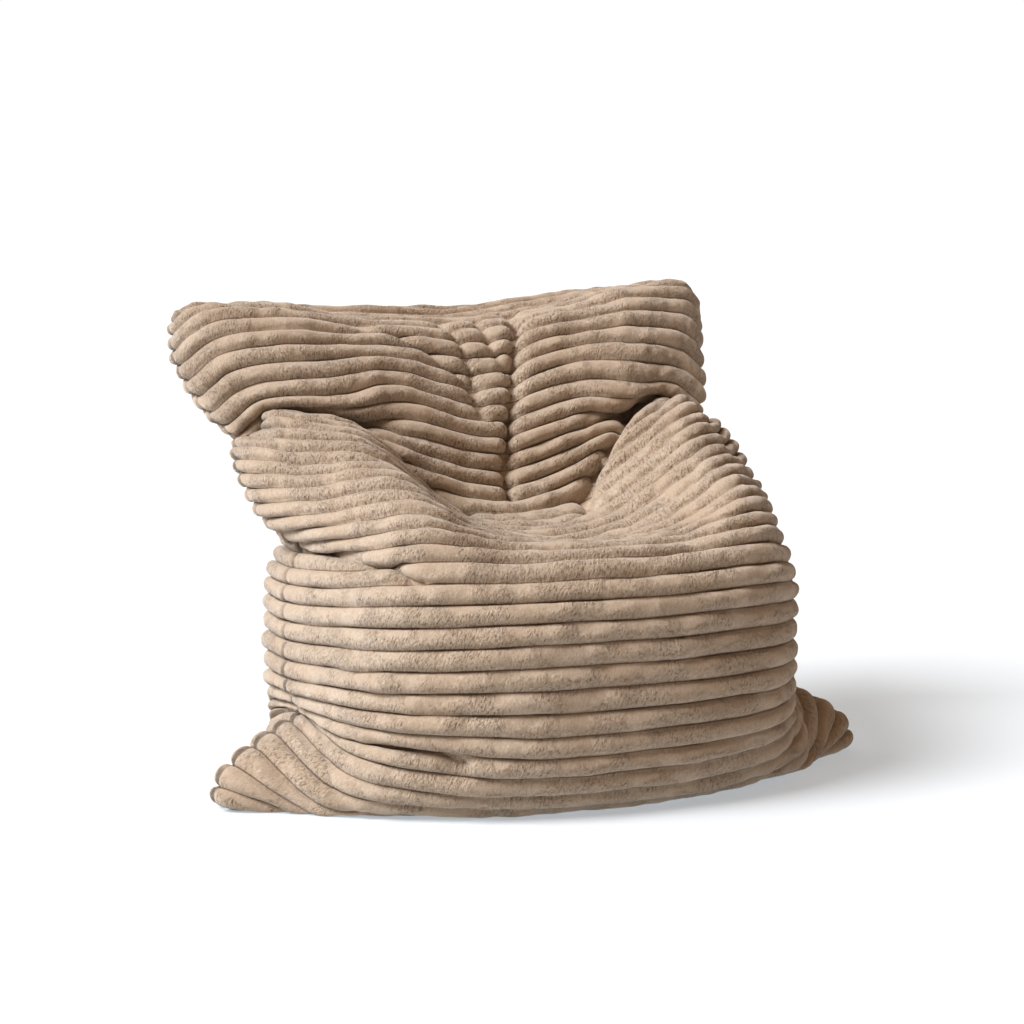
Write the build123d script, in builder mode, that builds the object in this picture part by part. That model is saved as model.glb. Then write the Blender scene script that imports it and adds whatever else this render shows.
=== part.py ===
from build123d import *
from math import copysign, cos, radians, sin
import os

os.makedirs("parts", exist_ok=True)

# Bean bag chair: a pillow-shaped bag sewn from two ribbed plush panels, slumped into a seat with arms
# and a backrest. It holds a zipped liner full of filling. Both zips lie in the bottom seam, under it.
# Millimetres, +Z up, the seat opens towards -Y. The origin is on the floor, under the middle of the bag.

# driving dimensions of the bag
HORN_TIP = 620
EAR_TIP = 530
DEPTH_SHIFT = -28
PILE = 8
PANEL_WALL = 12
LINER_WALL = 2
LAYER_GAP = 0.5
BAG_CUTTER = 2000
CORNER_SIDES = 12

# driving dimensions of the zips, which run along X
SEAM_Y = -118
COVER_ZIP_LENGTH = 720
LINER_ZIP_LENGTH = 640
ZIP_SLOT_WIDTH = 30
TAPE = 0.6
COIL_WIDTH = 2.4
COIL_HEIGHT = 2.2
COIL_GAP = 1.4
END_MARGIN = 16
RUNNING_GAP = 0.15
PLATE = 1.2
SLIDER_LENGTH = 13
POST_WIDTH = 1.0
POST_LENGTH = 4
STOP_LENGTH = 4
SLIDER_REST_GAP = 1
COVER_TAPE_Z = 9.0
LINER_SLOT_WIDTH = 22
LINER_ZIP_HEADROOM = 5

# pull tab of the cover's slider
LUG_LENGTH = 3.2
LUG_WIDTH = 2.4
LUG_HEIGHT = 2.6
PIN_DROP = 1.5
PIN_RADIUS = 0.75
PIN_CLEARANCE = 0.05
PIN_END_INSET = 0.5
FORK_CLEARANCE = 0.8
PULL_THICKNESS = 1.6
PULL_WIDTH = 5.2
PULL_LENGTH = 24
PULL_CORNER = 1.7
PULL_HOLE_LENGTH = 6
PULL_HOLE_WIDTH = 2
PULL_HOLE_INSET = 6

# blank care label, flat between the cover and the liner
LABEL_LENGTH = 60
LABEL_WIDTH = 35
LABEL_THICKNESS = 0.3
LABEL_CORNER = 2
LABEL_PLACE = (420, -130)

# Side outlines of the fabric's middle surface at each station along X. Each point is (y, z), from the
# front of the sole up the front, over the lip and seat, up the backrest and down the back to the sole.
CENTRE_OUTLINE = (
    (-372, -6), (-416, 70), (-430, 180), (-424, 300), (-392, 395), (-330, 428), (-180, 428),
    (-20, 430), (52, 462), (118, 552), (190, 660), (262, 748), (330, 782), (396, 780), (460, 745),
    (486, 680), (462, 606), (392, 545), (318, 508), (318, 462), (372, 385), (394, 280), (384, 150),
    (338, 40), (300, -6),
)
INNER_OUTLINE = (
    (-350, -6), (-392, 70), (-408, 180), (-402, 300), (-370, 400), (-305, 442), (-160, 448),
    (-10, 458), (66, 498), (124, 582), (190, 684), (262, 765), (330, 798), (396, 796), (452, 762),
    (478, 690), (452, 606), (382, 545), (300, 508), (298, 462), (350, 385), (370, 280), (360, 150),
    (318, 40), (285, -6),
)
CREST_OUTLINE = (
    (-262, -6), (-326, 70), (-346, 180), (-342, 300), (-322, 420), (-262, 488), (-150, 526),
    (-20, 568), (80, 598), (138, 642), (200, 730), (262, 795), (330, 820), (394, 814), (440, 776),
    (462, 700), (430, 612), (352, 552), (255, 506), (235, 462), (262, 385), (276, 280), (270, 150),
    (236, 40), (200, -6),
)
OUTER_OUTLINE = (
    (-150, -6), (-212, 70), (-232, 180), (-232, 300), (-218, 400), (-168, 462), (-80, 508),
    (20, 560), (110, 606), (172, 648), (222, 720), (278, 790), (335, 822), (388, 812), (420, 770),
    (430, 695), (386, 612), (300, 548), (205, 496), (150, 448), (158, 385), (166, 280), (160, 150),
    (130, 40), (100, -6),
)
SIDE_OUTLINE = (
    (-100, -6), (-118, 70), (-122, 180), (-120, 300), (-108, 380), (-62, 428), (10, 472),
    (90, 522), (160, 560), (216, 606), (262, 680), (304, 760), (340, 800), (378, 796), (398, 756),
    (396, 690), (348, 612), (268, 548), (176, 492), (96, 436), (78, 372), (76, 280), (72, 150),
    (62, 40), (50, -6),
)
END_STATION = 448
RIGHT_STATIONS = ((165, INNER_OUTLINE), (310, CREST_OUTLINE), (400, OUTER_OUTLINE),
                  (END_STATION, SIDE_OUTLINE))

# Wing ears at the top corners and splayed corners on the floor: (x, y, z, half depth, half height)
EAR_SECTIONS = ((400, 348, 716, 62, 66), (455, 360, 745, 50, 62), (498, 372, 772, 36, 48),
                (EAR_TIP - PILE, 380, 788, 16, 22))
HORN_SECTIONS = ((390, -90, 85, 118, 88), (460, -90, 76, 104, 78), (530, -90, 52, 76, 52),
                 (585, -90, 30, 44, 30), (HORN_TIP - PILE, -90, 14, 18, 14))

# side outline of the surface in which the front and back panels meet
SEAM_LINE = ((-90, -40), (-85, 60), (-60, 290), (-15, 385), (85, 448), (200, 540), (285, 625),
             (345, 715), (388, 790), (396, 880))


def grown(outline, growth):
    """The outline moved outward by growth, along the normal at each of its points."""
    moved = []
    for index, (y, z) in enumerate(outline):
        before = Vector(*outline[max(index - 1, 0)])
        after = Vector(*outline[min(index + 1, len(outline) - 1)])
        along = (after - before).normalized()
        moved.append((y - along.Y * growth + DEPTH_SHIFT, z + along.X * growth))
    return moved


def faceted_solid(rings):
    """A closed solid with flat triangular facets between rings that have the same number of points."""
    faces = [Face(Wire.make_polygon(ring)) for ring in (rings[0], rings[-1])]
    for near, far in zip(rings, rings[1:]):
        for index in range(len(near)):
            following = (index + 1) % len(near)
            for corners in ((near[index], near[following], far[following]),
                            (near[index], far[following], far[index])):
                faces.append(Face(Wire.make_polygon(corners)))
    return Solid(Shell(faces))


def body_of_bag(growth):
    """The bag between its side stations, with its surface moved outward by growth."""
    left = [(-x, outline) for x, outline in reversed(RIGHT_STATIONS)]
    rings = []
    for x, outline in left + [(0, CENTRE_OUTLINE)] + list(RIGHT_STATIONS):
        end_growth = copysign(growth, growth * x) if abs(x) == END_STATION else 0
        rings.append([Vector(x + end_growth, y, z) for y, z in grown(outline, growth)])
    return faceted_solid(rings)


def corner_of_bag(sections, side, growth):
    """One tapering corner, from inside the body out to its tip."""
    rings = []
    for x, y, z, half_depth, half_height in sections:
        reach = x + growth if x == sections[-1][0] else x
        ring = []
        for step in range(CORNER_SIDES):
            turn = radians(360 / CORNER_SIDES * (step + 0.5))
            ring.append(Vector(side * reach, y + DEPTH_SHIFT + (half_depth + growth) * cos(turn),
                               z + (half_height + growth) * sin(turn)))
        rings.append(ring)
    return faceted_solid(rings)


def bag(growth):
    """The closed bag with its surface moved outward by growth, and its sole cut flat."""
    pieces = [body_of_bag(growth)]
    for side in (-1, 1):
        pieces.append(corner_of_bag(EAR_SECTIONS, side, growth))
        pieces.append(corner_of_bag(HORN_SECTIONS, side, growth))
    with BuildPart() as solid:
        add(pieces)
        with Locations((0, 0, PILE - growth)):
            Box(BAG_CUTTER, BAG_CUTTER, BAG_CUTTER, align=(Align.CENTER, Align.CENTER, Align.MAX),
                mode=Mode.SUBTRACT)
    return solid.part


def front_of_seam():
    """Everything in front of the surface in which the two panels meet."""
    with BuildPart() as solid:
        with BuildSketch(Plane.YZ):
            with BuildLine():
                seam = [(y + DEPTH_SHIFT, z) for y, z in SEAM_LINE]
                Polyline(*seam, (-BAG_CUTTER, seam[-1][1]), (-BAG_CUTTER, seam[0][1]), close=True)
            make_face()
        extrude(amount=BAG_CUTTER, both=True)
    return solid.part


def save(part, name):
    part.label = name
    export_step(part, f"parts/{name}.step")


def shell_panel(outside, inside, seam_cutter, is_front, slot):
    """One sewn panel: the wall between two closed surfaces, on one side of the seam, open for a zip."""
    slot_length, slot_width, slot_top = slot
    with BuildPart() as panel:
        add(outside)
        add(inside, mode=Mode.SUBTRACT)
        add(seam_cutter, mode=Mode.INTERSECT if is_front else Mode.SUBTRACT)
        with Locations((0, SEAM_Y, slot_top)):
            Box(slot_length, slot_width, slot_top * 2, align=(Align.CENTER, Align.CENTER, Align.MAX),
                mode=Mode.SUBTRACT)
    return panel.part


def strip(length, y_from, y_to, z_from, z_to):
    """A straight strip along X between two depths and two heights."""
    with BuildPart() as piece:
        with Locations((0, (y_from + y_to) / 2, (z_from + z_to) / 2)):
            Box(length, y_to - y_from, z_to - z_from)
    return piece.part


def zip_stops(x_from, y_spans, z_from, z_to):
    """Metal stops at one end of a zip, one for each span of depths."""
    with BuildPart() as stops:
        for y_from, y_to in y_spans:
            with Locations((x_from + STOP_LENGTH / 2, (y_from + y_to) / 2, (z_from + z_to) / 2)):
                Box(STOP_LENGTH, y_to - y_from, z_to - z_from)
    return stops.part


def zip_slider(x, tape_bottom, coil_side):
    """Two plates joined by a post, with flanges round the coils. coil_side is -1 below, 1 above."""
    reach = COIL_GAP / 2 + COIL_WIDTH + RUNNING_GAP
    half_width = reach + PLATE
    coil_z = tape_bottom - COIL_HEIGHT if coil_side < 0 else tape_bottom + TAPE + COIL_HEIGHT
    coil_plate = coil_z + coil_side * RUNNING_GAP
    tape_plate = tape_bottom + TAPE + RUNNING_GAP if coil_side < 0 else tape_bottom - RUNNING_GAP
    flange_end = tape_bottom - RUNNING_GAP if coil_side < 0 else tape_bottom + TAPE + RUNNING_GAP
    with BuildPart() as slider:
        for level, direction in ((coil_plate, coil_side), (tape_plate, -coil_side)):
            with BuildSketch(Plane.XY.offset(level)):
                with Locations((x, SEAM_Y)):
                    SlotOverall(SLIDER_LENGTH, half_width * 2)
            extrude(amount=direction * PLATE)
        with BuildSketch(Plane.XY.offset(min(coil_plate, tape_plate))):
            with Locations((x, SEAM_Y)):
                SlotOverall(POST_LENGTH, POST_WIDTH)
        extrude(amount=abs(tape_plate - coil_plate))
        straight = SLIDER_LENGTH - half_width * 2
        for side in (-1, 1):
            with Locations((x, SEAM_Y + side * (reach + PLATE / 2), (coil_plate + flange_end) / 2)):
                Box(straight, PLATE, abs(flange_end - coil_plate))
    return slider.part


def zip_set(prefix, length, tape_bottom, coil_side, tape_width):
    """The fixed pieces of one zip. The slider and pull are made apart, because they move."""
    half_gap = COIL_GAP / 2
    coil_length = length - END_MARGIN * 2
    coil_from = tape_bottom - COIL_HEIGHT if coil_side < 0 else tape_bottom + TAPE
    coil_to = coil_from + COIL_HEIGHT
    for name, side in (("front", -1), ("back", 1)):
        tape_y = sorted((SEAM_Y + side * half_gap, SEAM_Y + side * tape_width))
        coil_y = sorted((SEAM_Y + side * half_gap, SEAM_Y + side * (half_gap + COIL_WIDTH)))
        save(strip(length, *tape_y, tape_bottom, tape_bottom + TAPE), f"{prefix}_zip_tape_{name}")
        save(strip(coil_length, *coil_y, coil_from, coil_to), f"{prefix}_zip_coil_{name}")
    inner, outer = half_gap, half_gap + COIL_WIDTH
    split_spans = ((SEAM_Y - outer, SEAM_Y - inner), (SEAM_Y + inner, SEAM_Y + outer))
    bridge_span = ((SEAM_Y - outer, SEAM_Y + outer),)
    save(zip_stops(coil_length / 2, split_spans, coil_from, coil_to), f"{prefix}_zip_top_stop")
    save(zip_stops(-coil_length / 2 - STOP_LENGTH, bridge_span, coil_from, coil_to),
         f"{prefix}_zip_bottom_stop")


def lug_for_pull(slider, x, plate_bottom):
    """The slider with a drilled lug below its plate, for the pull tab's pin."""
    with BuildPart() as piece:
        add(slider)
        with BuildSketch(Plane.XZ.offset(-SEAM_Y)):
            with Locations((x, plate_bottom - LUG_HEIGHT / 2)):
                Rectangle(LUG_LENGTH, LUG_HEIGHT)
            with Locations((x, plate_bottom - PIN_DROP)):
                Circle(PIN_RADIUS + PIN_CLEARANCE, mode=Mode.SUBTRACT)
        extrude(amount=LUG_WIDTH / 2, both=True)
    return piece.part


def pull_tab(x, plate_bottom):
    """A flat tab with a fork whose pin turns in the slider's lug. It lies along +X at rest."""
    pin_z = plate_bottom - PIN_DROP
    fork_length = LUG_LENGTH + FORK_CLEARANCE
    with BuildPart() as tab:
        with BuildSketch(Plane.XY.offset(pin_z - PULL_THICKNESS / 2)):
            with Locations((x + PULL_LENGTH / 2 - PULL_THICKNESS / 2, SEAM_Y)):
                Rectangle(PULL_LENGTH, PULL_WIDTH)
            with Locations((x, SEAM_Y)):
                Rectangle(fork_length, LUG_WIDTH + RUNNING_GAP * 2, mode=Mode.SUBTRACT)
            with Locations((x + PULL_LENGTH - PULL_HOLE_INSET, SEAM_Y)):
                SlotOverall(PULL_HOLE_LENGTH, PULL_HOLE_WIDTH, mode=Mode.SUBTRACT)
        extrude(amount=PULL_THICKNESS)
        fillet(tab.edges().filter_by(Axis.Z).group_by(Axis.X)[-1], PULL_CORNER)
        with Locations(Location((x, SEAM_Y, pin_z), (90, 0, 0))):
            Cylinder(PIN_RADIUS, PULL_WIDTH - PIN_END_INSET * 2)
    return tab.part


def care_label():
    with BuildPart() as label:
        with BuildSketch(Plane.XY.offset(PANEL_WALL + (LAYER_GAP - LABEL_THICKNESS) / 2)):
            with Locations(LABEL_PLACE):
                RectangleRounded(LABEL_LENGTH, LABEL_WIDTH, LABEL_CORNER)
        extrude(amount=LABEL_THICKNESS)
    return label.part


seam_cutter = front_of_seam()
cover_inside = PILE - PANEL_WALL
liner_outside = cover_inside - LAYER_GAP
liner_inside = liner_outside - LINER_WALL
fill_outside = liner_inside - LAYER_GAP

cover_slot = (COVER_ZIP_LENGTH, ZIP_SLOT_WIDTH, PANEL_WALL)
cover_layers = (bag(PILE), bag(cover_inside))
save(shell_panel(*cover_layers, seam_cutter, True, cover_slot), "front_cover_panel")
save(shell_panel(*cover_layers, seam_cutter, False, cover_slot), "back_cover_panel")

liner_floor = PILE - liner_outside
liner_tape_bottom = liner_floor + LINER_WALL
liner_slot = (LINER_ZIP_LENGTH, LINER_SLOT_WIDTH, liner_tape_bottom)
liner_layers = (bag(liner_outside), bag(liner_inside))
save(shell_panel(*liner_layers, seam_cutter, True, liner_slot), "liner_front_panel")
save(shell_panel(*liner_layers, seam_cutter, False, liner_slot), "liner_back_panel")

with BuildPart() as filling:
    add(bag(fill_outside))
    with Locations((0, SEAM_Y, liner_tape_bottom)):
        Box(LINER_ZIP_LENGTH + LINER_ZIP_HEADROOM * 2, ZIP_SLOT_WIDTH + LINER_ZIP_HEADROOM * 2,
            LINER_ZIP_HEADROOM * 2, mode=Mode.SUBTRACT)
save(filling.part, "bead_filling")

# both sliders rest just short of the top stops, with their zips closed
slider_inset = END_MARGIN + SLIDER_LENGTH / 2 + SLIDER_REST_GAP
cover_rest = COVER_ZIP_LENGTH / 2 - slider_inset
zip_set("cover", COVER_ZIP_LENGTH, COVER_TAPE_Z, -1, ZIP_SLOT_WIDTH / 2)
plate_bottom = COVER_TAPE_Z - COIL_HEIGHT - RUNNING_GAP - PLATE
cover_slider = zip_slider(cover_rest, COVER_TAPE_Z, -1)
save(lug_for_pull(cover_slider, cover_rest, plate_bottom), "cover_zip_slider")
save(pull_tab(cover_rest, plate_bottom), "cover_zip_pull")

liner_rest = LINER_ZIP_LENGTH / 2 - slider_inset
zip_set("liner", LINER_ZIP_LENGTH, liner_tape_bottom, 1, ZIP_SLOT_WIDTH / 2)
save(zip_slider(liner_rest, liner_tape_bottom, 1), "liner_zip_slider")

save(care_label(), "care_label")
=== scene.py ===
import math

import bpy
import numpy as np
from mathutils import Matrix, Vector


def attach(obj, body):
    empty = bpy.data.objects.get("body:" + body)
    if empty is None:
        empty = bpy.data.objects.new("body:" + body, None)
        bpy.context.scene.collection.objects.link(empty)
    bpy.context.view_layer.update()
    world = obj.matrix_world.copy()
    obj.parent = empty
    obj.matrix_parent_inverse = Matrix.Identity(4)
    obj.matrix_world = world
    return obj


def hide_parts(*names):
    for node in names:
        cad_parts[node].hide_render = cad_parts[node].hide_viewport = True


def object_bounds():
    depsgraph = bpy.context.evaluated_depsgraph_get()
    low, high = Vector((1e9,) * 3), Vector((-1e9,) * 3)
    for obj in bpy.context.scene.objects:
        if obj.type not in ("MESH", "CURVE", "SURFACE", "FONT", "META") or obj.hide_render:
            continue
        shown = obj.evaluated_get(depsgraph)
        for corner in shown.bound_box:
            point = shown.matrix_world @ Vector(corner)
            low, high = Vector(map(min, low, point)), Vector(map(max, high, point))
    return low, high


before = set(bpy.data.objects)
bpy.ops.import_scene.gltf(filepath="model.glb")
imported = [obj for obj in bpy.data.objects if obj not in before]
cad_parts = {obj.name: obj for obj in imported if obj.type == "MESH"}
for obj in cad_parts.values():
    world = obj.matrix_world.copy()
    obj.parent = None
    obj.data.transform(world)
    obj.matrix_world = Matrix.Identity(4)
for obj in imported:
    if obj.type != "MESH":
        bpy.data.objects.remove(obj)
CAD_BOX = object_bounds()
LOW, HIGH = Vector(CAD_BOX[0]), Vector(CAD_BOX[1])

# The outlines are in centimetres of a bag 124 cm wide; UNIT ties them to the frame.
OUTLINE_WIDTH = 124
UNIT = (HIGH.x - LOW.x) / OUTLINE_WIDTH  # metres
OUTLINE_DEPTH_SHIFT = -2.8  # centimetres
FLOOR_Z = LOW.z

# The cloth, in metres: ribs across a panel, the width of one rib and the way round the bag.
RIBS = 46
RIB_PITCH = 0.037
GIRTH = 2.75

# The layers, in metres below the cover's surface.
COVER_BACKING = 0.0098
LINER_DEPTH = 0.0115
LINER_THICKNESS = 0.001
FILL_DEPTH = 0.014
HIDDEN_SPREAD = 1.7  # how much wider and deeper the creases are in the hidden layers

# The lowest points over the floor, in metres.
COVER_REST = 0.001
SOLE_LIFT = 0.006
BACKING_REST = 0.0108
LINER_REST = 0.0127
LINER_INNER_REST = 0.0139
FILL_REST = 0.0155
FILL_ZIP_LIFT = 0.0055

# The zips' slots in the bottom seam, in metres. They close over the first ribs and past their ends.
ZIP_HALF_SLOT = 0.015
ZIP_HALF_LENGTH = 0.36
LINER_ZIP_HALF_SLOT = 0.01125
LINER_ZIP_HALF_LENGTH = 0.32
ZIP_SLOT_RIBS = 1.4
ZIP_SLOT_END = 0.022
FILL_ZIP_HALF_LENGTH = 0.34

# How far round the bag each line runs: 0.25 is the front's middle, 0.5 the right side seam and 0.75 the
# back's middle.
LINE_PLACES = (0.25, 0.3125, 0.375, 0.44, 0.5, 0.56, 0.64, 0.75)

# Lines that run up the right half of the bag, from the bottom seam to the top one. Each point is the
# rib it crosses, then x, y and z.
FRONT_CENTRE = (
    (0, 0, -9, 0), (4, 0, -22, 0), (7.3, 0, -33.6, 0.5), (8.6, 0, -38, 3), (10, 0, -40.5, 7.5),
    (13, 0, -42, 18), (16, 0, -41.8, 29), (18.6, 0, -40, 38), (19.8, 0, -37, 41.6),
    (21.2, 0, -33, 42.8), (24, 0, -23, 42.6), (27, 0, -12, 42.3), (29.5, 0, -2, 42.8),
    (30.8, 0, 4.5, 44), (32.3, 0, 8.4, 47.4), (36, 0, 13.8, 57.4), (40, 0, 21.2, 68.4),
    (42.3, 0, 26.4, 74.4), (43.6, 0, 30.8, 76.5), (45, 0, 35.5, 77), (46, 0, 39, 76.2),
)
FRONT_INNER = (
    (0, 16, -9, 0), (4, 16, -21.5, 0), (7.1, 16.5, -31.6, 0.5), (8.6, 17, -36, 3),
    (10, 17.3, -38.3, 7.5), (13, 17.6, -39.9, 18), (16, 17.4, -39.7, 29), (18.7, 17, -37.8, 38.2),
    (20, 16.6, -34.6, 42), (21.5, 16, -30, 43.6), (24, 15.5, -22, 44.2), (27, 14.5, -10, 45),
    (29.5, 13.5, 0, 46), (31, 12.8, 6.5, 47), (32.5, 13.5, 9.5, 50.9), (36, 16, 14.2, 60.9),
    (40, 17.5, 21.4, 72), (42.3, 17.5, 26.5, 76.6), (43.6, 17.5, 31, 78), (45, 17.5, 35.5, 78.2),
    (46, 17.5, 39, 77.3),
)
FRONT_CREST = (
    (0, 32, -9, 0), (4, 32, -18.6, 0), (6.8, 32, -26.4, 0.5), (8.6, 32, -31, 4), (10, 32.2, -32.7, 8.5),
    (13, 32.5, -33.9, 18), (16, 32.3, -33.8, 28.5), (18.8, 31.5, -32.8, 38.3), (20.4, 30.5, -31, 43.6),
    (22.3, 29.5, -27.5, 48), (25, 29, -18, 51.9), (28, 29, -7, 55), (31, 29.5, 4, 58.8),
    (32.8, 29.2, 9.8, 60.4), (33.7, 28.6, 12.2, 60.9), (35.4, 26.5, 18.5, 59.4), (37.1, 28, 13.8, 63.4),
    (38.2, 29, 15.8, 66.8), (40.4, 32, 21, 73.4), (42.5, 33, 26.4, 78.6), (43.8, 33, 31, 80.6),
    (45, 33, 36, 80.6), (46, 33, 39, 79.6),
)
FRONT_OUTER = (
    (0, 44, -9, 0.4), (4, 45.5, -15, 0.5), (6.9, 45, -20.3, 1.4), (8.2, 43.5, -22.4, 5.4),
    (9.6, 41.8, -22.4, 10), (11.5, 41.4, -21, 14), (14, 41.5, -21, 21), (17, 41.5, -21, 31),
    (19.5, 40.7, -20.5, 38.6), (20.8, 39.4, -19.6, 42.2), (22.4, 40, -16.6, 45.6), (25, 40.8, -8.8, 50.4),
    (28, 41, 0.8, 55.6), (31, 40.8, 10, 60.6), (32.4, 40, 14.6, 62.4), (35.1, 34.5, 23, 60.8),
    (37.8, 39.6, 17.4, 64.8), (39, 42.2, 19.8, 67.8), (41.4, 45.6, 25, 74.8), (43.2, 46.6, 29.6, 79.8),
    (44.4, 46.6, 33.6, 81.8), (45.3, 46.4, 36.5, 82), (46, 46, 38.7, 81.2),
)
SIDE_SEAM = (
    (0, 50, -9, 0.6), (3.6, 57, -9, 0.9), (4.6, 59.4, -9, 2.6), (5.6, 57.8, -8.8, 6), (7, 52.6, -7.8, 9.6),
    (8.4, 47.4, -6.5, 12.3), (9.6, 43.8, -5.8, 13.8), (11.6, 43, -5.4, 15), (13.4, 44.9, -5.2, 18.6),
    (16.5, 45.2, -5, 28.2), (19.5, 44.4, -4, 37.4), (20.8, 42.3, -3, 40.6), (22, 42.2, -2.4, 42.6),
    (23.3, 45, -0.6, 45), (25.5, 47, 5, 49.8), (27.6, 47.4, 11, 54.6), (29.2, 46.4, 15, 57.6),
    (33.2, 35, 25, 57), (37.2, 45, 16.8, 59.4), (38.6, 47.6, 20.4, 62.4), (40.8, 50.2, 27.6, 68.6),
    (43.2, 52, 33.6, 75), (45, 51.4, 37.6, 79.2), (46, 50, 38.8, 80.4),
)
BACK_SIDE = (
    (0, 44.5, -9, 0.4), (4, 46, -3, 0.6), (6.9, 45.8, 2, 1.6), (8.2, 45, 4, 5.6), (9.5, 44.2, 5.5, 10),
    (12, 43.8, 6.5, 14.6), (14, 44.4, 7, 20), (17, 44.6, 7.2, 30), (19.8, 43.4, 7.5, 38),
    (21.6, 40.6, 8.4, 42.4), (24, 40.6, 13, 47), (28, 40.8, 20, 52.4), (32, 40.4, 27, 56.4),
    (36, 42, 32.5, 61.5), (39.5, 45, 37, 69), (43, 47.4, 40.2, 76.5), (45, 47.8, 40.6, 80),
    (46, 48, 39.6, 80.8),
)
BACK_SHOULDER = (
    (0, 31, -9, 0.2), (5, 31, 5, 0.2), (9, 31, 17, 0.5), (11, 31.2, 22, 3), (12.5, 31.6, 25, 7.5),
    (15, 32, 26.8, 15.5), (18, 32, 27.2, 26), (21, 31.5, 27, 36.5), (23.3, 30.5, 25.5, 43.5),
    (25.5, 30, 22.5, 47), (27.8, 30, 22.5, 49.5), (30, 31, 29, 51.5), (33, 32, 36.5, 56.5),
    (37, 33, 43, 66), (41, 34, 46.4, 75), (43.3, 34, 46, 79.4), (45, 33.5, 43, 81), (46, 33, 39.2, 80.2),
)
BACK_CENTRE = (
    (0, 0, -9, 0.2), (5, 0, 8, 0.2), (10, 0, 27, 0.4), (12, 0, 33, 3), (13.5, 0, 36.2, 8),
    (16, 0, 38.6, 17), (19, 0, 39.2, 28), (22, 0, 38, 38.5), (24, 0, 34.5, 44.5), (26, 0, 29, 48),
    (28, 0, 27.5, 50.5), (30, 0, 33, 52), (32, 0, 40, 54.5), (34.5, 0, 45.3, 60.5), (38, 0, 48.3, 70.5),
    (40.5, 0, 48.2, 74.8), (43, 0, 46, 78), (45, 0, 42.3, 78), (46, 0, 39.2, 76.6),
)
RIGHT_LINES = (
    FRONT_CENTRE, FRONT_INNER, FRONT_CREST, FRONT_OUTER, SIDE_SEAM, BACK_SIDE, BACK_SHOULDER, BACK_CENTRE,
)

# The bag leans towards -X: how far its sides are shifted at each rib.
LEAN = (
    (0, 0), (7, 0), (11, -0.7), (21, -0.7), (24, -1.6), (31, -1.6), (36, -3), (41, -2.4), (44, -1),
    (46, -0.6),
)

# Creases pressed into the bag: points (how far round, rib), then depth and half width in metres.
CREASES = (
    # down the middle of the back, a little to one side at the top, and three pinches beside it
    (((0.290, 44.5), (0.287, 43), (0.273, 39.6), (0.264, 37), (0.257, 34.8), (0.252, 32.3)), 0.030, 0.014),
    (((0.196, 42), (0.219, 40.8), (0.239, 39.3), (0.245, 37.4)), 0.016, 0.011),
    (((0.237, 43.6), (0.242, 41.9), (0.245, 39.7), (0.243, 37.6)), 0.016, 0.010),
    (((0.262, 43.8), (0.262, 41.8), (0.268, 39.8)), 0.012, 0.009),
    # between the back and the two arms, and on under the wings
    (((0.303, 29.6), (0.312, 30.4), (0.330, 32.1), (0.348, 33.5), (0.375, 34.9)), 0.050, 0.013),
    (((0.375, 34.9), (0.40, 35.3), (0.44, 35.1), (0.497, 33.2)), 0.024, 0.014),
    (((0.205, 30.7), (0.178, 32), (0.152, 33.4), (0.125, 34.9)), 0.034, 0.014),
    (((0.125, 34.9), (0.10, 35.3), (0.06, 35.1), (0.003, 33.2)), 0.024, 0.014),
    # where the arms fold over the base
    (((0.003, 21.4), (0.037, 20.9), (0.065, 20.6), (0.095, 19.9), (0.119, 19.1)), 0.028, 0.010),
    (((0.495, 21.4), (0.46, 21), (0.43, 20.6)), 0.012, 0.011),
    # where the base folds over the splayed corners
    (((0.003, 10.3), (0.045, 10.8), (0.089, 11.2), (0.118, 11.1), (0.15, 10.6)), 0.034, 0.011),
    (((0.497, 10.3), (0.465, 10.7), (0.43, 10.2), (0.405, 9)), 0.030, 0.012),
    (((0.035, 9.6), (0.06, 8), (0.09, 7)), 0.008, 0.014),
    (((0.47, 9.6), (0.455, 8), (0.44, 7)), 0.010, 0.014),
)


# ---------------------------------------------------------------- the bag's surface

FRONT_MIDDLE = 0.25
BACK_MIDDLE = 0.75
SEAM_OVERLAP = 4  # columns past each side seam, so that both panels share their normals there
JOINED_RIBS = 2  # ribs over which the panels' edges are brought together

# The wings, in outline units: one rises and the other sinks, and the sides lean.
WING_REACH = 45
WING_RISE = 1.6
WING_SINK = 1.5
WING_RIBS = (36, 43)
LEAN_REACH = (25, 42)

# Irregular waves: height, stretch along the bag, size in metres and seed.
SOFT_LUMPS = ((0.004, 1, 0.26, 3), (0.0015, 1, 0.09, 5))
RIB_SWAY = ((0.035, 2.2, 0.40, 11), (0.015, 2, 0.12, 12))
UNEVEN_RIBS = ((0.10, 7.7, 0.22, 21),)
UNEVEN_PILE = ((0.07, 1, 0.05, 23),)
LUMPY_RIBS = (8, 11, 44, RIBS)
CREASE_FALL = 1.5  # how fast a crease flattens out beside its path
CREASE_SEAM_POWER = 0.3  # how late the creases fade towards the side seams


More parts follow.
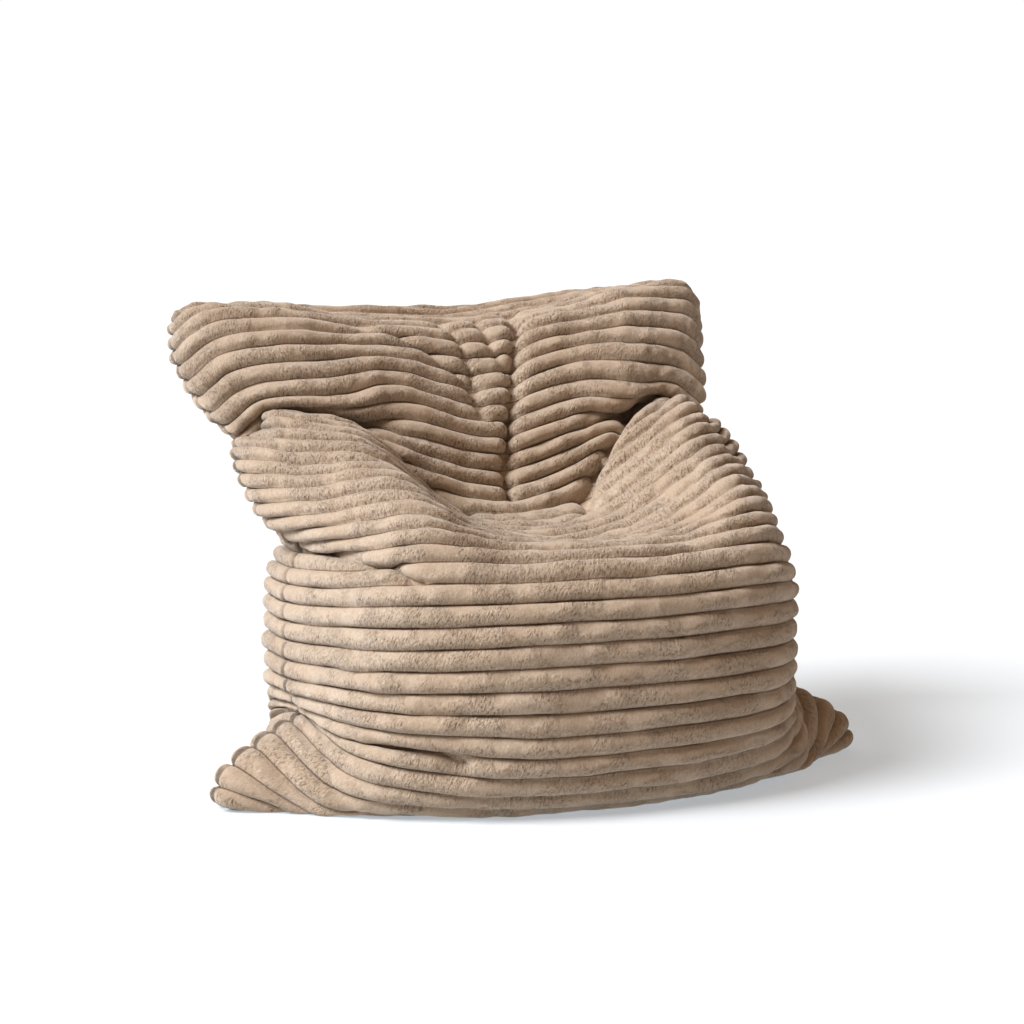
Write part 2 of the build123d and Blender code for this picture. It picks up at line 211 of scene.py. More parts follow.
def cubic(where, knots, values, closed=False):
    """A smooth curve through values at knots, evaluated at where. Values may be arrays."""
    knots = np.asarray(knots, float)
    values = np.asarray(values, float)
    gaps = np.diff(knots).reshape((-1,) + (1,) * (values.ndim - 1))
    slopes = np.diff(values, axis=0) / gaps
    tangents = np.empty_like(values)
    tangents[1:-1] = (slopes[:-1] * gaps[1:] + slopes[1:] * gaps[:-1]) / (gaps[1:] + gaps[:-1])
    if closed:
        joined = (slopes[-1] * gaps[0] + slopes[0] * gaps[-1]) / (gaps[0] + gaps[-1])
        tangents[0] = tangents[-1] = joined
    else:
        tangents[0] = 1.5 * slopes[0] - 0.5 * tangents[1]
        tangents[-1] = 1.5 * slopes[-1] - 0.5 * tangents[-2]
    left = np.clip(np.searchsorted(knots, where, side="right") - 1, 0, len(knots) - 2)
    share = ((where - knots[left]) / np.diff(knots)[left]).reshape((-1,) + (1,) * (values.ndim - 1))
    gap = gaps[left]
    return ((2 * share**3 - 3 * share**2 + 1) * values[left]
            + (share**3 - 2 * share**2 + share) * gap * tangents[left]
            + (3 * share**2 - 2 * share**3) * values[left + 1]
            + (share**3 - share**2) * gap * tangents[left + 1])


def ease(value, start, end):
    """0 before start, 1 after end and smooth between."""
    share = np.clip((value - start) / (end - start), 0, 1)
    return share * share * (3 - 2 * share)


def plateau(value, rise_start, rise_end, fall_start, fall_end):
    """1 between the rise's end and the fall's start, 0 outside both, and smooth between."""
    return ease(value, rise_start, rise_end) * (1 - ease(value, fall_start, fall_end))


def rounded(distance, reach):
    """A quarter circle: 0 at the edge and 1 from reach on."""
    return np.sqrt(1 - (1 - np.clip(distance / reach, 0, 1)) ** 2)


def waves(across, along, size, seed, count=14):
    """Gentle irregular waves between about -1 and 1, of about that size in metres."""
    random = np.random.default_rng(seed)
    total = np.zeros(np.broadcast(across, along).shape)
    for _ in range(count):
        direction = random.uniform(0, 2 * math.pi)
        length = size * random.uniform(0.7, 1.6)
        phase = random.uniform(0, 2 * math.pi)
        run = across * math.cos(direction) + along * math.sin(direction)
        total += np.cos(2 * math.pi * run / length + phase)
    return total / math.sqrt(count)


def layered_waves(across, along, layers):
    """Waves of several sizes added up."""
    return sum(height * waves(across, along * stretch, size, seed) for height, stretch, size, seed in layers)


def between_lines(places, ribs):
    """The surface through the lines and their mirror images: an array over places and ribs."""
    mirror = np.array([-1, 1, 1])
    lines = []
    for place, points in zip(LINE_PLACES, RIGHT_LINES):
        points = np.array(points, float)
        line = cubic(ribs, points[:, 0], points[:, 1:])
        lines.append((place, line))
        if place not in (FRONT_MIDDLE, BACK_MIDDLE):
            lines.append(((0.5 - place) % 1, line * mirror))
    lines.sort(key=lambda item: item[0])
    knots = [place for place, line in lines]
    values = [line for place, line in lines]
    return cubic(places % 1, knots + [knots[0] + 1], values + [values[0]], closed=True)


def smooth_bag(places, ribs):
    """The bag's surface in metres, without ribs or creases, its panels joined along all their edges."""
    grid = between_lines(places, ribs)
    rib = ribs[None, :]
    at_bottom = 1 - ease(rib, 0, JOINED_RIBS)
    at_top = ease(rib, RIBS - JOINED_RIBS, RIBS)
    for end, nearness in ((0, at_bottom), (RIBS, at_top)):
        own = between_lines(places, [end])
        opposite = between_lines(1 - places, [end])
        grid += (opposite - own) / 2 * nearness[..., None]
    x = grid[..., 0]
    grid[..., 2] += np.where(x > 0, WING_RISE, WING_SINK) * x / WING_REACH * ease(rib, *WING_RIBS)
    lean = np.interp(ribs, *zip(*LEAN))
    grid[..., 0] += lean[None, :] * ease(np.abs(x), *LEAN_REACH)
    grid[..., 1] += OUTLINE_DEPTH_SHIFT
    grid *= UNIT
    grid[..., 2] = np.maximum(grid[..., 2] + FLOOR_Z, FLOOR_Z + SOLE_LIFT)
    return grid


def crease_depth(place, rib, spread):
    """How far the creases press the surface in, in metres. A spread over 1 makes them wider and deeper."""
    depth = np.zeros(np.broadcast(place, rib).shape)
    for path, deepest, half_width in CREASES:
        nearest = np.full(depth.shape, np.inf)
        for (place_a, rib_a), (place_b, rib_b) in zip(path, path[1:]):
            step = np.array([(place_b - place_a) * GIRTH, (rib_b - rib_a) * RIB_PITCH])
            away = (((place - place_a + 0.5) % 1 - 0.5) * GIRTH, (rib - rib_a) * RIB_PITCH)
            share = np.clip((away[0] * step[0] + away[1] * step[1]) / (step @ step), 0, 1)
            gap = np.hypot(away[0] - share * step[0], away[1] - share * step[1])
            nearest = np.minimum(nearest, gap)
        depth += deepest * spread / (1 + (nearest / half_width / spread) ** 2) ** CREASE_FALL
    return depth


def normals_of(grid):
    """Unit normals of a grid of points, pointing out of the bag."""
    around = np.gradient(grid, axis=0)
    up = np.gradient(grid, axis=1)
    normal = np.cross(around, up)
    return normal / np.maximum(np.linalg.norm(normal, axis=2, keepdims=True), 1e-9)


def softened(grid, passes=2):
    """The grid after each point has moved towards its neighbours along both ways."""
    for _ in range(passes):
        for axis in (0, 1):
            padded = np.concatenate((grid.take([0], axis), grid, grid.take([-1], axis)), axis)
            count = grid.shape[axis]
            before = padded.take(range(0, count), axis)
            after = padded.take(range(2, count + 2), axis)
            grid = 0.5 * grid + 0.25 * (before + after)
    return grid


def creased_bag(places, ribs, spread=1.0):
    """The bag's fabric surface with its creases and soft lumps, and its outward normals."""
    grid = smooth_bag(places, ribs)
    place = places[:, None] % 1
    rib = ribs[None, :]
    lumps = layered_waves(place * GIRTH, rib * RIB_PITCH, SOFT_LUMPS)
    off_seam = np.sin(np.pi * (places[:, None] * 2 % 1)) ** 0.5
    pressed = crease_depth(place, rib, spread) * off_seam ** CREASE_SEAM_POWER
    inward = pressed - lumps * off_seam * plateau(rib, *LUMPY_RIBS)
    grid = grid - normals_of(grid) * inward[..., None]
    grid[..., 2] = np.maximum(grid[..., 2], FLOOR_Z + SOLE_LIFT)
    return grid, normals_of(softened(grid))


# ---------------------------------------------------------------- meshes

def add_piece(name, points, faces, uv=None):
    """A new smooth mesh piece. uv holds each point's place on the cloth."""
    mesh = bpy.data.meshes.new(name)
    mesh.from_pydata(points.tolist(), [], faces)
    if uv is not None:
        layer = mesh.uv_layers.new(name="cloth")
        corner_points = np.empty(len(mesh.loops), int)
        mesh.loops.foreach_get("vertex_index", corner_points)
        layer.data.foreach_set("uv", uv[corner_points].ravel())
    mesh.polygons.foreach_set("use_smooth", np.ones(len(mesh.polygons), bool))
    mesh.validate()
    mesh.update()
    piece = bpy.data.objects.new(name, mesh)
    bpy.context.scene.collection.objects.link(piece)
    return piece


def grid_faces(numbers):
    """Four-sided faces between a grid of point numbers, as lists, facing out of the bag."""
    corners = (numbers[:-1, :-1], numbers[1:, :-1], numbers[1:, 1:], numbers[:-1, 1:])
    return np.stack(corners, 2).reshape(-1, 4).tolist()


def turned_over(face):
    """The same face, facing the other way."""
    return [face[0], *face[:0:-1]]


def rim_faces(dense, sparse):
    """Triangles between an edge of many points and the edge of fewer points beside it."""
    step = (len(dense) - 1) // (len(sparse) - 1)
    faces = []
    for i in range(len(sparse) - 1):
        first = i * step
        last = first + step
        middle = (first + last) // 2
        faces += [(dense[k], dense[k + 1], sparse[i]) for k in range(first, middle)]
        faces.append((dense[middle], sparse[i + 1], sparse[i]))
        faces += [(dense[k], dense[k + 1], sparse[i + 1]) for k in range(middle, last)]
    return faces


def closed_shell(name, outer, inner, uv, stride):
    """One closed piece of cloth: an outer grid, every few points of the inner one, and a rim between."""
    some = (slice(None, None, stride[0]), slice(None, None, stride[1]))
    inner = inner[some]
    points = np.concatenate((outer.reshape(-1, 3), inner.reshape(-1, 3)))
    all_uv = np.concatenate((uv.reshape(-1, 2), uv[some].reshape(-1, 2)))
    fine = np.arange(outer[..., 0].size).reshape(outer.shape[:2])
    coarse = fine.size + np.arange(inner[..., 0].size).reshape(inner.shape[:2])
    faces = grid_faces(fine) + [turned_over(face) for face in grid_faces(coarse)]
    for dense, sparse in ((fine[:, 0], coarse[:, 0]), (fine[-1], coarse[-1])):
        faces += [face[::-1] for face in rim_faces(dense.tolist(), sparse.tolist())]
    for dense, sparse in ((fine[:, -1], coarse[:, -1]), (fine[0], coarse[0])):
        faces += rim_faces(dense.tolist(), sparse.tolist())
    return add_piece(name, points, faces, all_uv)


def open_for_zip(grid, rib, side, half_slot, half_length):
    """Moves the grid's bottom edge away from the seam where the zip's slot is."""
    near_edge = 1 - ease(rib, 0, ZIP_SLOT_RIBS)
    near_zip = 1 - ease(np.abs(grid[..., 0]), half_length, half_length + ZIP_SLOT_END)
    grid[..., 1] += side * half_slot * near_edge * near_zip


# ---------------------------------------------------------------- the cover

ROWS_PER_RIB = 10
INNER_STRIDE = (5, 10)
RIB_HEIGHT = 0.0165
RIB_SHARE_OUTSIDE = 0.45  # of a rib's height, outside the fabric line
RIB_ROUNDNESS = 2.2
STEADY_WIDTH = 0.05  # metres from a side seam over which the ribs run straight

# How the ribs round down to the seams, in metres.
SEAM_ROUNDING = 0.014
END_ROUNDING = 0.015
SEAM_DIP = 0.004
TOP_SEAM_RIBS = 0.35

# Over the base's ribs the side seams are nearly flush. Under the bag the ribs are pressed flat.
FLUSH_SHARE = 0.8
FLUSH_RIBS = (9.5, 11, 20, 21.5)
SOLE_FLATNESS = 0.75
SOLE_RIBS = (5.5, 8)
SOLE_REACH = (0.36, 0.48)

# The splayed corners swell beside their seams, in metres.
CORNER_PUFF = 0.009
PUFF_ROUNDING = 0.05
PUFF_REACH = (0.06, 0.2)
PUFF_RIBS = (6, 10)


def rib_profile(phase):
    """Rounded rib between narrow grooves: 0 in the groove, 1 on the crest."""
    across = 2 * np.abs(phase - np.floor(phase) - 0.5)
    return np.sqrt(np.maximum(1 - across ** RIB_ROUNDNESS, 0))


def pile_height(fabric, rib, phase, to_seam, crest):
    """How far the pile stands over the fabric line, in metres."""
    to_end = np.minimum(rib, RIBS - rib) * RIB_PITCH
    flush = FLUSH_SHARE * plateau(rib, *FLUSH_RIBS)
    seam_pull = flush + (1 - flush) * rounded(to_seam, SEAM_ROUNDING)
    ribs_up = rib_profile(phase) * crest * seam_pull * rounded(to_end, END_ROUNDING)
    under = (1 - ease(rib, *SOLE_RIBS)) * (1 - ease(np.abs(fabric[..., 0]), *SOLE_REACH))
    sole = 1 - SOLE_FLATNESS * under
    at_top = 1 - ease(rib, RIBS - TOP_SEAM_RIBS, RIBS)
    height = RIB_HEIGHT * (ribs_up - (1 - RIB_SHARE_OUTSIDE)) * sole * at_top
    swell = rounded(to_seam, PUFF_ROUNDING) * (1 - ease(to_seam, *PUFF_REACH)) * (1 - ease(rib, *PUFF_RIBS))
    return height - SEAM_DIP * (1 - seam_pull) + CORNER_PUFF * swell


def cover_panel(name, first_place, columns, side):
    """The front (side -1) or back (side 1) panel of ribbed plush."""
    step = 0.5 / (columns - 1)
    places = first_place + step * np.arange(-SEAM_OVERLAP, columns + SEAM_OVERLAP)
    ribs = np.linspace(0, RIBS, RIBS * ROWS_PER_RIB + 1)
    fabric, normal = (grid[SEAM_OVERLAP:-SEAM_OVERLAP] for grid in creased_bag(places, ribs))
    places = places[SEAM_OVERLAP:-SEAM_OVERLAP]
    rib = ribs[None, :]
    across = places[:, None] % 1 * GIRTH
    to_seam = np.minimum(places - places[0], places[-1] - places)[:, None] * GIRTH
    off_seam = ease(to_seam, 0, STEADY_WIDTH)
    off_ends = plateau(rib, 0, 1, RIBS - 1, RIBS)
    phase = rib + layered_waves(across, rib * RIB_PITCH, RIB_SWAY) * off_ends * off_seam
    uneven = (layered_waves(across, np.floor(phase), UNEVEN_RIBS)
              + layered_waves(across, rib * RIB_PITCH, UNEVEN_PILE))
    height = pile_height(fabric, rib, phase, to_seam, 1 + uneven * off_seam)
    outer = fabric + normal * height[..., None]
    inner = fabric - normal * COVER_BACKING
    for grid, rest in ((outer, COVER_REST), (inner, BACKING_REST)):
        open_for_zip(grid, rib, side, ZIP_HALF_SLOT, ZIP_HALF_LENGTH)
        grid[..., 2] = np.maximum(grid[..., 2], FLOOR_Z + rest)
    uv = np.stack(np.broadcast_arrays(across, phase), 2)
    return closed_shell(name, outer, inner, uv, INNER_STRIDE)


# ---------------------------------------------------------------- the liner and the filling

LINER_COLUMNS = 61
LINER_STRIDE = (2, 2)
FILL_COLUMNS = 120
FILL_ZIP_RIBS = (0.5, 1.6)
DRAWN_IN_SHARE = 0.075
DRAWN_IN_WIDTH = 0.16
DRAWN_DOWN = 0.028
DRAWN_DOWN_RIBS = (43, RIBS)


def drawn_in(grid, places, ribs):
    """The hidden layers end short of the cover's seams, so that they stay inside its thin edges."""
    to_seam = np.abs((places + 0.25) % 0.5 - 0.25)[:, None] * GIRTH
    grid[..., 0] *= 1 - DRAWN_IN_SHARE * (1 - ease(to_seam, 0, DRAWN_IN_WIDTH))
    grid[..., 2] -= DRAWN_DOWN * ease(ribs[None, :], *DRAWN_DOWN_RIBS)
    return grid


def hidden_panel(name, first_place, side):
    """One panel of the liner, just inside the cover."""
    places = np.linspace(first_place, first_place + 0.5, LINER_COLUMNS)
    ribs = np.linspace(0, RIBS, RIBS * 2 + 1)
    fabric, normal = creased_bag(places, ribs, HIDDEN_SPREAD)
    outer = drawn_in(fabric - normal * LINER_DEPTH, places, ribs)
    inner = outer - normal * LINER_THICKNESS
    for grid, rest in ((outer, LINER_REST), (inner, LINER_INNER_REST)):
        open_for_zip(grid, ribs[None, :], side, LINER_ZIP_HALF_SLOT, LINER_ZIP_HALF_LENGTH)
        grid[..., 2] = np.maximum(grid[..., 2], FLOOR_Z + rest)
    uv = np.stack(np.broadcast_arrays(places[:, None] * GIRTH, ribs[None, :] * RIB_PITCH), 2)
    return closed_shell(name, outer, inner, uv, LINER_STRIDE)


def bead_body():
    """The filling as one closed body inside the liner, lifted over the zips."""
    places = np.arange(FILL_COLUMNS + 1) / FILL_COLUMNS
    ribs = np.linspace(0, RIBS, RIBS + 1)
    fabric, normal = creased_bag(places, ribs, HIDDEN_SPREAD)
    grid = drawn_in((fabric - normal * FILL_DEPTH)[:-1], places[:-1], ribs)
    over_zip = (1 - ease(ribs[None, :], *FILL_ZIP_RIBS)) * (np.abs(grid[..., 0]) < FILL_ZIP_HALF_LENGTH)
    grid[..., 2] = np.maximum(grid[..., 2], FLOOR_Z + FILL_REST + FILL_ZIP_LIFT * over_zip)
    numbers = np.arange(grid[..., 0].size).reshape(grid.shape[:2])
    faces = grid_faces(np.vstack((numbers, numbers[:1])))
    for ring, outwards in ((numbers[:, 0].tolist(), -1), (numbers[:, -1].tolist(), 1)):
        for c in range(FILL_COLUMNS // 2):
            corners = dict.fromkeys(ring[k] for k in (c, c + 1, -c - 1, -c))
            faces.append(list(corners)[::outwards])
    return add_piece("bead_body", grid.reshape(-1, 3), faces)


# ---------------------------------------------------------------- materials

class Nodes:
    """Adds nodes to a tree. A value is a number, a colour or another node's output."""

    def __init__(self, tree):
        self.tree = tree

    def put(self, value, socket):
        """Links an output to the socket, or sets the socket to a number or colour."""
        if isinstance(value, bpy.types.NodeSocket):
            self.tree.links.new(value, socket)
        else:
            socket.default_value = value

    def add(self, kind, inputs=None, **properties):
        """A new node with those properties and inputs."""
        node = self.tree.nodes.new(kind)
        for name, value in properties.items():
            setattr(node, name, value)
        for name, value in (inputs or {}).items():
            self.put(value, node.inputs[name])
        return node

    def place(self):
        """Where the point is on the object, in metres."""
        return self.add("ShaderNodeTexCoord").outputs["Object"]

    def noise(self, vector, scale, detail=3.0, rough=0.55, distortion=0.0):
        inputs = {
            "Vector": vector, "Scale": scale, "Detail": detail, "Roughness": rough, "Distortion": distortion,
        }
        return self.add("ShaderNodeTexNoise", inputs).outputs["Fac"]

    def bands(self, vector, scale, direction, distortion=0.0):
        inputs = {"Vector": vector, "Scale": scale, "Distortion": distortion}
        node = self.add("ShaderNodeTexWave", inputs, wave_type="BANDS", bands_direction=direction)
        return node.outputs["Fac"]

    def stretched(self, vector, scale, turn=0.0):
        inputs = {"Vector": vector, "Scale": scale, "Rotation": (0, 0, turn)}
        return self.add("ShaderNodeMapping", inputs).outputs["Vector"]

    def ranged(self, value, low, high, to_low, to_high, kind="SMOOTHSTEP"):
        inputs = {"Value": value, "From Min": low, "From Max": high, "To Min": to_low, "To Max": to_high}
        return self.add("ShaderNodeMapRange", inputs, interpolation_type=kind).outputs["Result"]

    def maths(self, operation, first, second=0):
        return self.add("ShaderNodeMath", {0: first, 1: second}, operation=operation).outputs["Value"]

    def mixed(self, share, first, second):
        inputs = {"Factor": share, "A": first, "B": second}
        return self.add("ShaderNodeMix", inputs, data_type="RGBA").outputs["Result"]

    def bump(self, height, strength, distance, normal=None):
        inputs = {"Height": height, "Strength": strength, "Distance": distance}
        if normal is not None:
            inputs["Normal"] = normal
        return self.add("ShaderNodeBump", inputs).outputs["Normal"]


class Surface(Nodes):
    """A material made of one Principled shader and the nodes that feed it."""

    def __init__(self, name, slot_colour):
        self.material = bpy.data.materials.new(name)
        self.material.use_nodes = True
        self.material.diffuse_color = slot_colour
        super().__init__(self.material.node_tree)

    def shaded(self, inputs):
        """The finished material, with those values or outputs on its shader."""
        shader = self.tree.nodes["Principled BSDF"]
        for name, value in inputs.items():
            self.put(value, shader.inputs[name])
        return self.material


PLUSH_LIGHT = (0.64, 0.565, 0.485, 1)
PLUSH_MIDDLE = (0.54, 0.455, 0.37, 1)
PLUSH_SHADE = (0.45, 0.335, 0.235, 1)
PLUSH_DARK = (0.24, 0.15, 0.088, 1)
# painted shade: the dark colour laid into the grooves between ribs
PLUSH_GROOVE_SHADE = (0.2, 0.118, 0.066, 1)

# The pile's marks, from the finest to the widest: noise scales to the metre.
TUFTS = 520
STROKES = (330, 120, 1)
STROKE_SLANT = 0.45  # radians
CLUMPS = 130
PATCHES = 16
DRIFTS = 9


def plush_material():
    """Short pile in ribs: slanted strokes, clumps and tufts, ruffled patches, and painted shade that darkens
    the grooves.
    """
    n = Surface("ribbed_plush", PLUSH_MIDDLE)
    cloth = n.add("ShaderNodeUVMap", uv_map="cloth").outputs["UV"]
    place = n.place()
    phase = n.maths("FRACT", n.add("ShaderNodeSeparateXYZ", {"Vector": cloth}).outputs["Y"])
    to_groove = n.maths("MULTIPLY", n.maths("ABSOLUTE", n.maths("SUBTRACT", phase, 0.5)), 2)
    slanted = n.stretched(cloth, (1, RIB_PITCH, 1), STROKE_SLANT)
    strokes = n.noise(n.stretched(slanted, STROKES), 1.0, 3, 0.6, 0.3)
    clumps = n.noise(place, CLUMPS, 3, 0.6, 0.5)
    tufts = n.noise(place, TUFTS, 3, 0.65, 0.2)
    drift = n.noise(place, DRIFTS, 3, 0.5)
    patches = n.noise(place, PATCHES, 2, 0.5, 0.3)
    low_side = n.ranged(phase, 0.8, 0.2, 0, 0.12)
    ruffled = n.ranged(n.maths("ADD", patches, low_side), 0.44, 0.66, 0, 1)
    tips = n.maths("ADD", n.maths("MULTIPLY", strokes, 0.45), n.maths("MULTIPLY", tufts, 0.55))
    flecks = n.maths("MULTIPLY", n.ranged(strokes, 0.46, 0.32, 0, 1), ruffled)
    colour = n.mixed(n.ranged(tips, 0.40, 0.60, 0, 1), PLUSH_SHADE, PLUSH_LIGHT)
    colour = n.mixed(n.ranged(ruffled, 0.0, 1.0, 0.5, 0.15), colour, PLUSH_MIDDLE)
    colour = n.mixed(n.ranged(drift, 0.35, 0.65, 0, 0.25), colour, PLUSH_SHADE)
    colour = n.mixed(n.maths("MULTIPLY", flecks, 0.7), colour, PLUSH_DARK)
    # painted shade: the plush turns darker towards each groove between ribs
    colour = n.mixed(n.ranged(to_groove, 0.88, 1.0, 0, 0.8), colour, PLUSH_GROOVE_SHADE)
    ruffle = n.maths("ADD", n.maths("MULTIPLY", ruffled, 0.8), 0.2)
    pile = n.bump(tufts, 0.8, 0.0018)
    clumped = n.bump(n.maths("MULTIPLY", clumps, ruffle), 0.9, 0.005, pile)
    return n.shaded({
        "Base Color": colour,
        "Roughness": 0.95,
        "Normal": n.bump(n.maths("MULTIPLY", strokes, ruffle), 0.9, 0.004, clumped),
        "Specular IOR Level": 0.12,
        "Sheen Weight": 0.6,
        "Sheen Roughness": 0.5,
        "Sheen Tint": (1.0, 0.98, 0.95, 1),
    })


def woven_material(name, light, dark, fineness):
    """Plain woven cloth. It has about 3.2 threads to the metre for each step of fineness."""
    n = Surface(name, light)
    place = n.place()
    warp = n.bands(place, fineness, "X", 0.6)
    weft = n.bands(place, fineness, "Y", 0.6)
    weave = n.maths("MULTIPLY", warp, weft)
    drift = n.noise(place, 40, 4)
    colour = n.mixed(n.ranged(weave, 0.1, 0.7, 0, 1), dark, light)
    return n.shaded({
        "Base Color": n.mixed(n.ranged(drift, 0.3, 0.7, 0, 0.5), colour, dark),
        "Roughness": 0.85,
        "Normal": n.bump(weave, 0.6, 0.0004),
        "Sheen Weight": 0.15,
    })


def coil_material(name, light, dark):
    """Wound nylon coil: a slanted turn about every 3.4 mm along X."""
    n = Surface(name, light)
    turns = n.bands(n.stretched(n.place(), (3.4, 1.2, 0.3)), 55, "DIAGONAL")
    return n.shaded({
        "Base Color": n.mixed(turns, dark, light),
        "Roughness": 0.42,
        "Normal": n.bump(turns, 1.0, 0.0008),
    })


def metal_material():
    """Nickel-plated die casting with fine scratches and dull patches."""
    n = Surface("zip_metal", (0.6, 0.6, 0.58, 1))
    place = n.place()
    scratches = n.noise(n.stretched(place, (8, 240, 240)), 30, 4)
    patches = n.noise(place, 260, 3)
    return n.shaded({
        "Base Color": n.mixed(patches, (0.50, 0.49, 0.46, 1), (0.74, 0.73, 0.70, 1)),
        "Metallic": 1,
        "Roughness": n.ranged(scratches, 0.3, 0.7, 0.22, 0.48),
        "Normal": n.bump(scratches, 0.25, 0.0002),
    })


def bead_material():
    """Packed polystyrene beads, each a pale dimple-edged cell, with painted shade darkening its edge and the
    gaps between beads.
    """
    n = Surface("polystyrene_beads", (0.85, 0.85, 0.84, 1))
    cells = n.add("ShaderNodeTexVoronoi", {"Vector": n.place(), "Scale": 260}, feature="F1")
    bead_dome_and_gap_shade = n.ranged(cells.outputs["Distance"], 0.2, 0.75, 1, 0)
    return n.shaded({
        # painted shade: each bead is darker towards its edge and in the gaps between beads; the same mask
        # also shapes the bump
        "Base Color": n.mixed(bead_dome_and_gap_shade, (0.55, 0.55, 0.54, 1), (0.90, 0.90, 0.89, 1)),
        "Roughness": 0.6,
        "Normal": n.bump(bead_dome_and_gap_shade, 0.9, 0.002),
    })


def dress(piece, material):
    """Gives the whole piece that material."""
    piece.data.materials.clear()
    piece.data.materials.append(material)


# ---------------------------------------------------------------- the bag

plush = plush_material()
liner_cloth = woven_material("liner_cloth", (0.80, 0.79, 0.76, 1), (0.62, 0.61, 0.58, 1), 45)
tape_cloth = woven_material("zip_tape", (0.42, 0.33, 0.25, 1), (0.28, 0.21, 0.15, 1), 70)
liner_tape = woven_material("liner_zip_tape", (0.78, 0.77, 0.74, 1), (0.60, 0.59, 0.56, 1), 70)
label_satin = woven_material("label_satin", (0.84, 0.83, 0.80, 1), (0.74, 0.73, 0.70, 1), 130)
cover_coil = coil_material("zip_coil", (0.38, 0.30, 0.22, 1), (0.20, 0.15, 0.11, 1))
liner_coil = coil_material("liner_zip_coil", (0.80, 0.79, 0.76, 1), (0.50, 0.49, 0.47, 1))
metal = metal_material()
beads = bead_material()

pieces = (
    (cover_panel("front_plush", 0.0, 201, -1), "front_cover_panel", "ribbed_plush", plush),
    (cover_panel("back_plush", 0.5, 151, 1), "back_cover_panel", "ribbed_plush", plush),
    (hidden_panel("front_liner", 0.0, -1), "liner_front_panel", "liner_cloth", liner_cloth),
    (hidden_panel("back_liner", 0.5, 1), "liner_back_panel", "liner_cloth", liner_cloth),
    (bead_body(), "bead_filling", "polystyrene_beads", beads),
)
for piece, node, slot, material in pieces:
    dress(piece, material)
    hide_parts(node)
    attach(piece, "bag")

# The other pieces keep their CAD meshes: cloth, coil and satin by name, and the rest is metal.
CAD_MATERIALS = {
    "cover_zip_tape": tape_cloth, "cover_zip_coil": cover_coil, "liner_zip_tape": liner_tape,
    "liner_zip_coil": liner_coil, "care_label": label_satin,
}
replaced = {node for piece, node, slot, material in pieces}
for name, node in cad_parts.items():
    if name not in replaced:
        family = [key for key in CAD_MATERIALS if name.startswith(key)]
        dress(node, CAD_MATERIALS[family[0]] if family else metal)


# ---------------------------------------------------------------- floor, light and camera

FLOOR_REACH = 60
FLOOR_GLOW = 0.45
FLOOR_GLOW_COLOUR = (0.92, 1, 1.07, 1)
ROOM_LIGHT = (0.34, 0.215, 0.11, 1)
BACKDROP_LIGHT = (1.02, 1.02, 1.02, 1)
BACKDROP_EDGE = (0.45, 0.75)
KEY_LIGHT = 4.6
KEY_COLOUR = (0.95, 1, 1.06)
KEY_DIRECTION = (0.71, 0.06, -0.67)
KEY_SPREAD = math.radians(32)
VIEW_GAMMA = 0.74

# The camera's place is in outline units, round the bag's axis.
CAMERA_AZIMUTH = math.radians(-24)
CAMERA_DISTANCE = 444
CAMERA_HEIGHT = 98.7
CAMERA_PITCH = math.radians(6.86)
CAMERA_ASIDE = math.radians(0.3344)
SENSOR_WIDTH = 36  # millimetres
LENS = 90.35  # millimetres


def studio_floor():
    """A pale, faintly glowing floor that runs back to the horizon."""
    corners = ((-1, -1), (1, -1), (1, 1), (-1, 1))
    mesh = bpy.data.meshes.new("table_top")
    mesh.from_pydata([(x * FLOOR_REACH, y * FLOOR_REACH, FLOOR_Z) for x, y in corners], [], [(0, 1, 2, 3)])
    floor = bpy.data.objects.new("table_top", mesh)
    bpy.context.scene.collection.objects.link(floor)
    n = Surface("studio_table", (0.5, 0.5, 0.5, 1))
    material = n.shaded({
        "Base Color": n.mixed(n.noise(n.place(), 1.5, 2), (0.44, 0.44, 0.44, 1), (0.47, 0.47, 0.47, 1)),
        "Roughness": 0.9,
        "Specular IOR Level": 0.1,
        "Emission Color": FLOOR_GLOW_COLOUR,
        "Emission Strength": FLOOR_GLOW,
    })
    dress(floor, material)


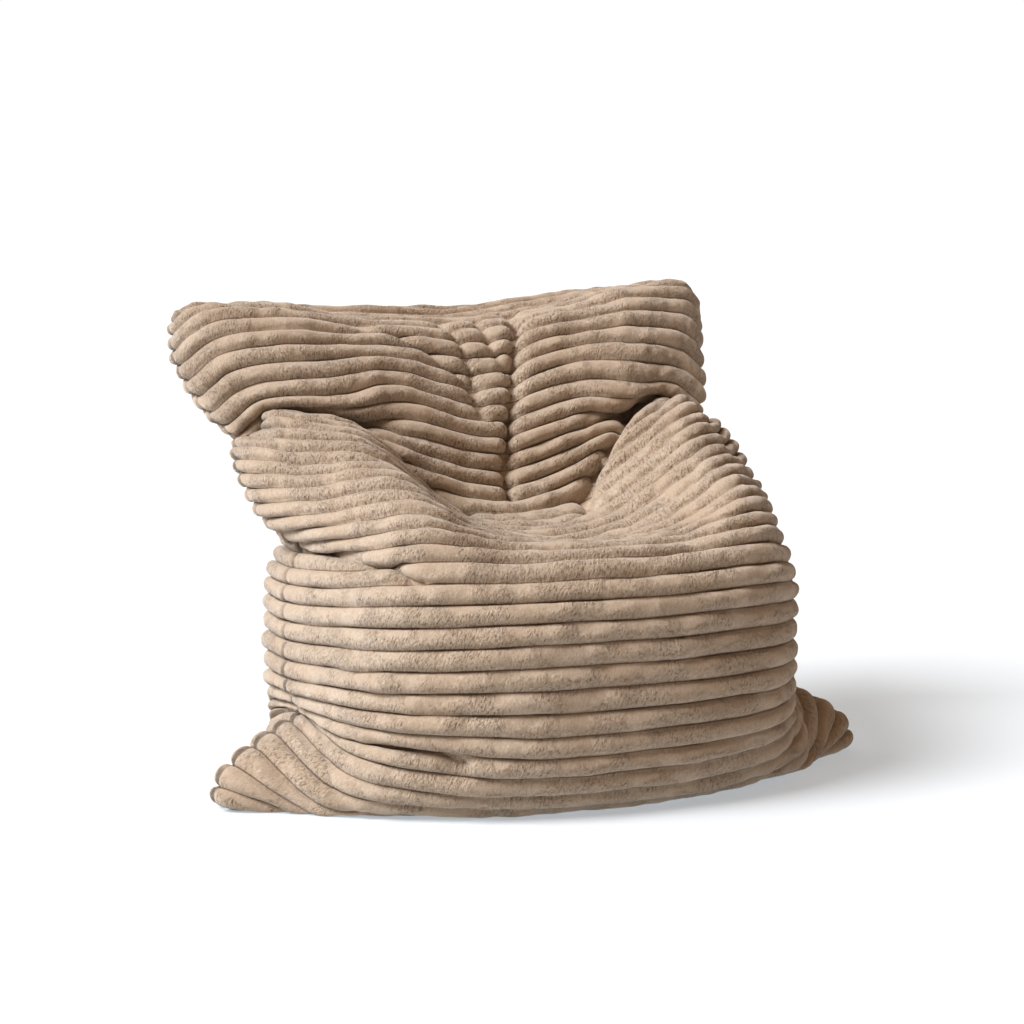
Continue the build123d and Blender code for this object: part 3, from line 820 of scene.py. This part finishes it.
def studio_room():
    """A dim warm room with a white backdrop. Seen directly, all of it is white."""
    world = bpy.data.worlds.new("studio")
    bpy.context.scene.world = world
    world.use_nodes = True
    n = Nodes(world.node_tree)
    direction = n.add("ShaderNodeTexCoord").outputs["Generated"]
    depth = n.add("ShaderNodeSeparateXYZ", {"Vector": direction}).outputs["Y"]
    behind = n.ranged(depth, *BACKDROP_EDGE, 0, 1, "LINEAR")
    seen = n.add("ShaderNodeLightPath").outputs["Is Camera Ray"]
    colour = n.mixed(n.maths("MAXIMUM", behind, seen), ROOM_LIGHT, BACKDROP_LIGHT)
    n.put(colour, world.node_tree.nodes["Background"].inputs["Color"])


def key_light():
    """One broad light from the left."""
    data = bpy.data.lights.new("key", "SUN")
    data.energy = KEY_LIGHT
    data.angle = KEY_SPREAD
    data.color = KEY_COLOUR
    key = bpy.data.objects.new("key", data)
    key.rotation_euler = Vector(KEY_DIRECTION).to_track_quat("-Z", "Y").to_euler()
    bpy.context.scene.collection.objects.link(key)


def camera():
    """Eye height about 1 m, a little left of the front, looking slightly down."""
    aside = math.sin(CAMERA_AZIMUTH) * CAMERA_DISTANCE * UNIT
    away = (OUTLINE_DEPTH_SHIFT - math.cos(CAMERA_AZIMUTH) * CAMERA_DISTANCE) * UNIT
    heading = CAMERA_AZIMUTH + CAMERA_ASIDE
    level = math.cos(CAMERA_PITCH)
    ahead = Vector((-math.sin(heading) * level, math.cos(heading) * level, -math.sin(CAMERA_PITCH)))
    data = bpy.data.cameras.new("camera")
    data.sensor_width = SENSOR_WIDTH
    data.lens = LENS
    data.clip_end = 100
    view = bpy.data.objects.new("camera", data)
    view.location = (aside, away, FLOOR_Z + CAMERA_HEIGHT * UNIT)
    view.rotation_euler = ahead.to_track_quat("-Z", "Y").to_euler()
    bpy.context.scene.collection.objects.link(view)
    bpy.context.scene.camera = view


studio_floor()
studio_room()
key_light()
camera()
bpy.context.scene.view_settings.view_transform = "Standard"
bpy.context.scene.view_settings.gamma = VIEW_GAMMA
